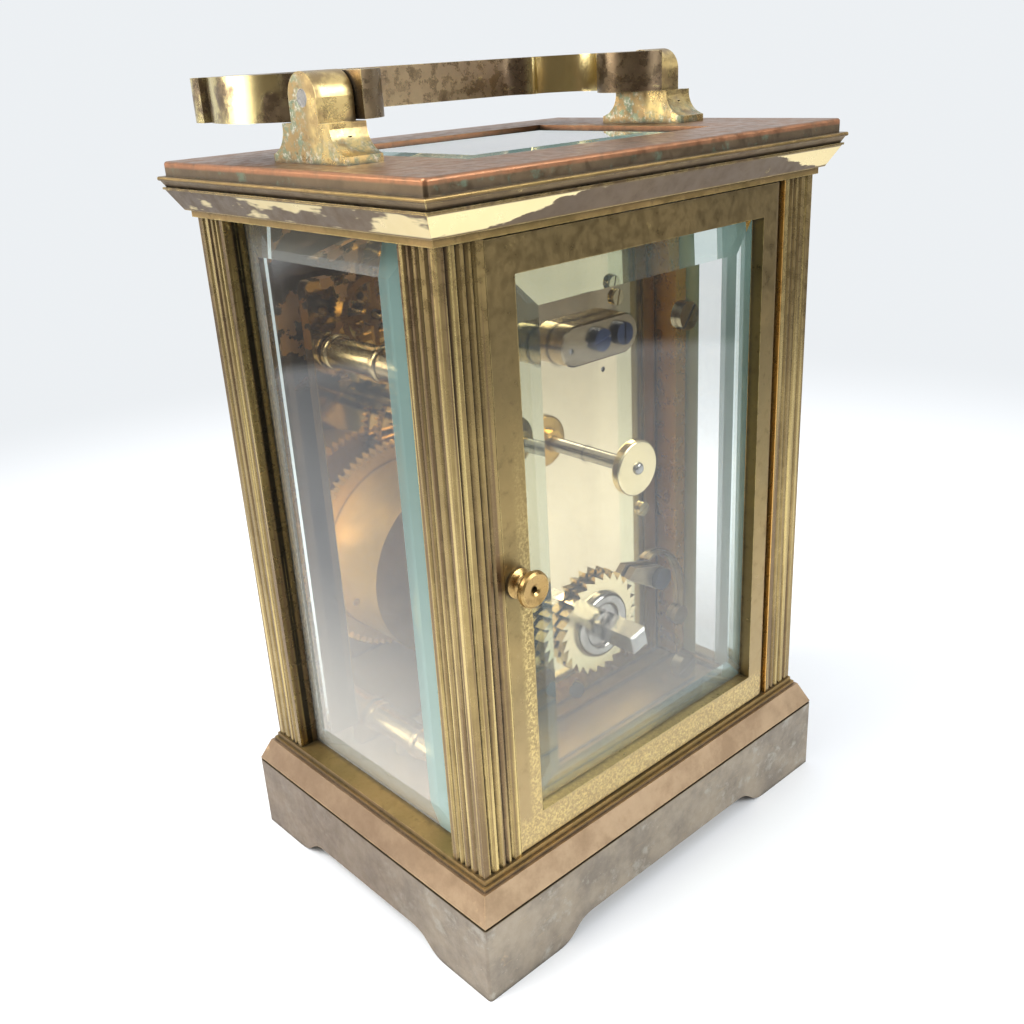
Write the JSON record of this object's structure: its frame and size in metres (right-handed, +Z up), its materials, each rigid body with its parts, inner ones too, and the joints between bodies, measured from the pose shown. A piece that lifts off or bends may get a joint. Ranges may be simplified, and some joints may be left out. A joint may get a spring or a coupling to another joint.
{
  "type": "carriage clock",
  "caption": "Glazed brass carriage clock with moulded plinth and cornice, reeded corner pillars, hinged rear door, folding handle and platform escapement movement.",
  "frame": {"origin": "centre of the plinth's underside, on the plane its four feet stand on", "axes": "+Z up, the dial faces -Y, the rear door faces +Y, +X to the right seen from the dial's side"},
  "size_m": [0.081, 0.0612, 0.1254],
  "materials": {
    "case_brass": "aged, dull, bright on worn edges",
    "plain_brass": "satin",
    "polished_brass": "polished",
    "glass": "clear, bevelled",
    "polished_steel": "polished",
    "blued_steel": "heat blued",
    "enamel": "white fired enamel"
  },
  "bodies": {
    "case": {"plinth": "case_brass", "bottom_plate": "plain_brass", "bottom_plate_screws": "polished_steel", "corner_pillars": "case_brass", "pillar_screws": "polished_steel", "cornice": "case_brass", "top_glass": "glass", "side_glasses": "glass", "front_glass": "glass", "door_hinge_pins": "polished_steel", "handle_posts": "case_brass", "handle_post_screws": "polished_steel", "handle_pins": "polished_steel", "back_plate": "polished_brass", "front_plate": "polished_brass", "movement_pillars": "plain_brass", "movement_pillar_screws": "polished_steel", "movement_screws": "polished_steel", "back_plate_screws": "blued_steel", "contrate_cock": "plain_brass", "cock_screws": "blued_steel", "click_screw": "blued_steel", "click_spring": "blued_steel", "dial": "enamel", "dial_mask": "case_brass", "front_plate_studs": "plain_brass", "platform": "polished_brass", "platform_screws": "blued_steel", "escape_cocks": "polished_brass", "hairspring": "blued_steel", "balance_cock": "polished_brass"},
    "rear_door": {"door_frame": "case_brass", "door_glass": "glass", "door_knob": "case_brass"},
    "carrying_handle": {"handle": "case_brass"},
    "barrel": {"barrel_drum": "plain_brass", "barrel_cover": "plain_brass", "mainspring": "blued_steel"},
    "winding_work": {"winding_arbor": "polished_steel", "ratchet_wheel": "polished_steel", "ratchet_keeper": "polished_steel"},
    "click_arm": {"click": "polished_steel"},
    "intermediate": {"intermediate_wheel": "plain_brass", "intermediate_arbor": "polished_steel"},
    "centre_train": {"centre_wheel": "plain_brass", "centre_pinion": "polished_steel"},
    "third": {"third_wheel": "plain_brass", "third_arbor": "polished_steel"},
    "contrate": {"contrate_wheel": "plain_brass", "contrate_arbor": "polished_steel"},
    "escape": {"escape_wheel": "polished_steel"},
    "hand_setting": {"centre_arbor": "polished_steel", "setting_knob": "plain_brass", "cannon_pinion": "polished_steel", "minute_hand": "blued_steel"},
    "minute_work": {"minute_wheel": "plain_brass"},
    "hour_work": {"hour_wheel": "plain_brass", "hour_hand": "blued_steel"},
    "balance": {"balance_wheel": "polished_brass"},
    "regulator": {"regulator_index": "polished_steel"}
  },
  "joints": [
    {"name": "door_swing", "type": "hinge", "parent": "case", "child": "rear_door", "pos_m": [-0.0281, 0.0255, 0.0626], "axis": [0, 0, 1], "range_deg": [0, 95]},
    {"name": "handle_swing", "type": "hinge", "parent": "case", "child": "carrying_handle", "pos_m": [0, 0, 0.1223], "axis": [-1, 0, 0], "range_deg": [0, 180]},
    {"name": "contrate_spin", "type": "hinge", "parent": "case", "child": "contrate", "pos_m": [0.00557, 0, 0.0866], "axis": [0, 1, 0], "continuous": true},
    {"name": "barrel_spin", "type": "hinge", "parent": "case", "child": "barrel", "pos_m": [0, 0, 0.0404], "axis": [0, 1, 0], "continuous": true},
    {"name": "intermediate_spin", "type": "hinge", "parent": "case", "child": "intermediate", "pos_m": [-0.01077, 0, 0.06016], "axis": [0, 1, 0], "continuous": true},
    {"name": "centre_train_spin", "type": "hinge", "parent": "case", "child": "centre_train", "pos_m": [0, 0, 0.0691], "axis": [0, 1, 0], "continuous": true},
    {"name": "third_spin", "type": "hinge", "parent": "case", "child": "third", "pos_m": [-0.004, 0, 0.08143], "axis": [0, 1, 0], "continuous": true},
    {"name": "escape_spin", "type": "hinge", "parent": "case", "child": "escape", "pos_m": [0.00557, 0.00134, 0.1], "axis": [0, 0, 1], "continuous": true},
    {"name": "winding_spin", "type": "hinge", "parent": "case", "child": "winding_work", "pos_m": [0, 0, 0.0404], "axis": [0, 1, 0], "continuous": true},
    {"name": "click_lift", "type": "hinge", "parent": "case", "child": "click_arm", "pos_m": [-0.0146, 0.014, 0.0432], "axis": [0, -1, 0], "range_deg": [0, 10]},
    {"name": "hand_setting_spin", "type": "hinge", "parent": "case", "child": "hand_setting", "pos_m": [0, 0, 0.0691], "axis": [0, 1, 0], "continuous": true},
    {"name": "minute_work_spin", "type": "hinge", "parent": "case", "child": "minute_work", "pos_m": [0.00594, 0, 0.06316], "axis": [0, 1, 0], "continuous": true},
    {"name": "hour_work_spin", "type": "hinge", "parent": "case", "child": "hour_work", "pos_m": [0, 0, 0.0691], "axis": [0, 1, 0], "continuous": true},
    {"name": "balance_swing", "type": "hinge", "parent": "case", "child": "balance", "pos_m": [0.00067, 0.00134, 0.1], "axis": [0, 0, 1], "range_deg": [-160, 160]},
    {"name": "regulator_turn", "type": "hinge", "parent": "case", "child": "regulator", "pos_m": [0.00067, 0.00134, 0.105], "axis": [0, 0, 1], "range_deg": [-25, 25]}
  ],
  "couplings": [
    {"joint": "third_spin", "follows": "contrate_spin", "ratio": -0.13333},
    {"joint": "centre_train_spin", "follows": "contrate_spin", "ratio": 0.016667},
    {"joint": "intermediate_spin", "follows": "contrate_spin", "ratio": -0.0027778},
    {"joint": "barrel_spin", "follows": "contrate_spin", "ratio": 0.00034722},
    {"joint": "escape_spin", "follows": "contrate_spin", "ratio": 10},
    {"joint": "minute_work_spin", "follows": "hand_setting_spin", "ratio": -0.33333},
    {"joint": "hour_work_spin", "follows": "hand_setting_spin", "ratio": 0.083333}
  ]
}
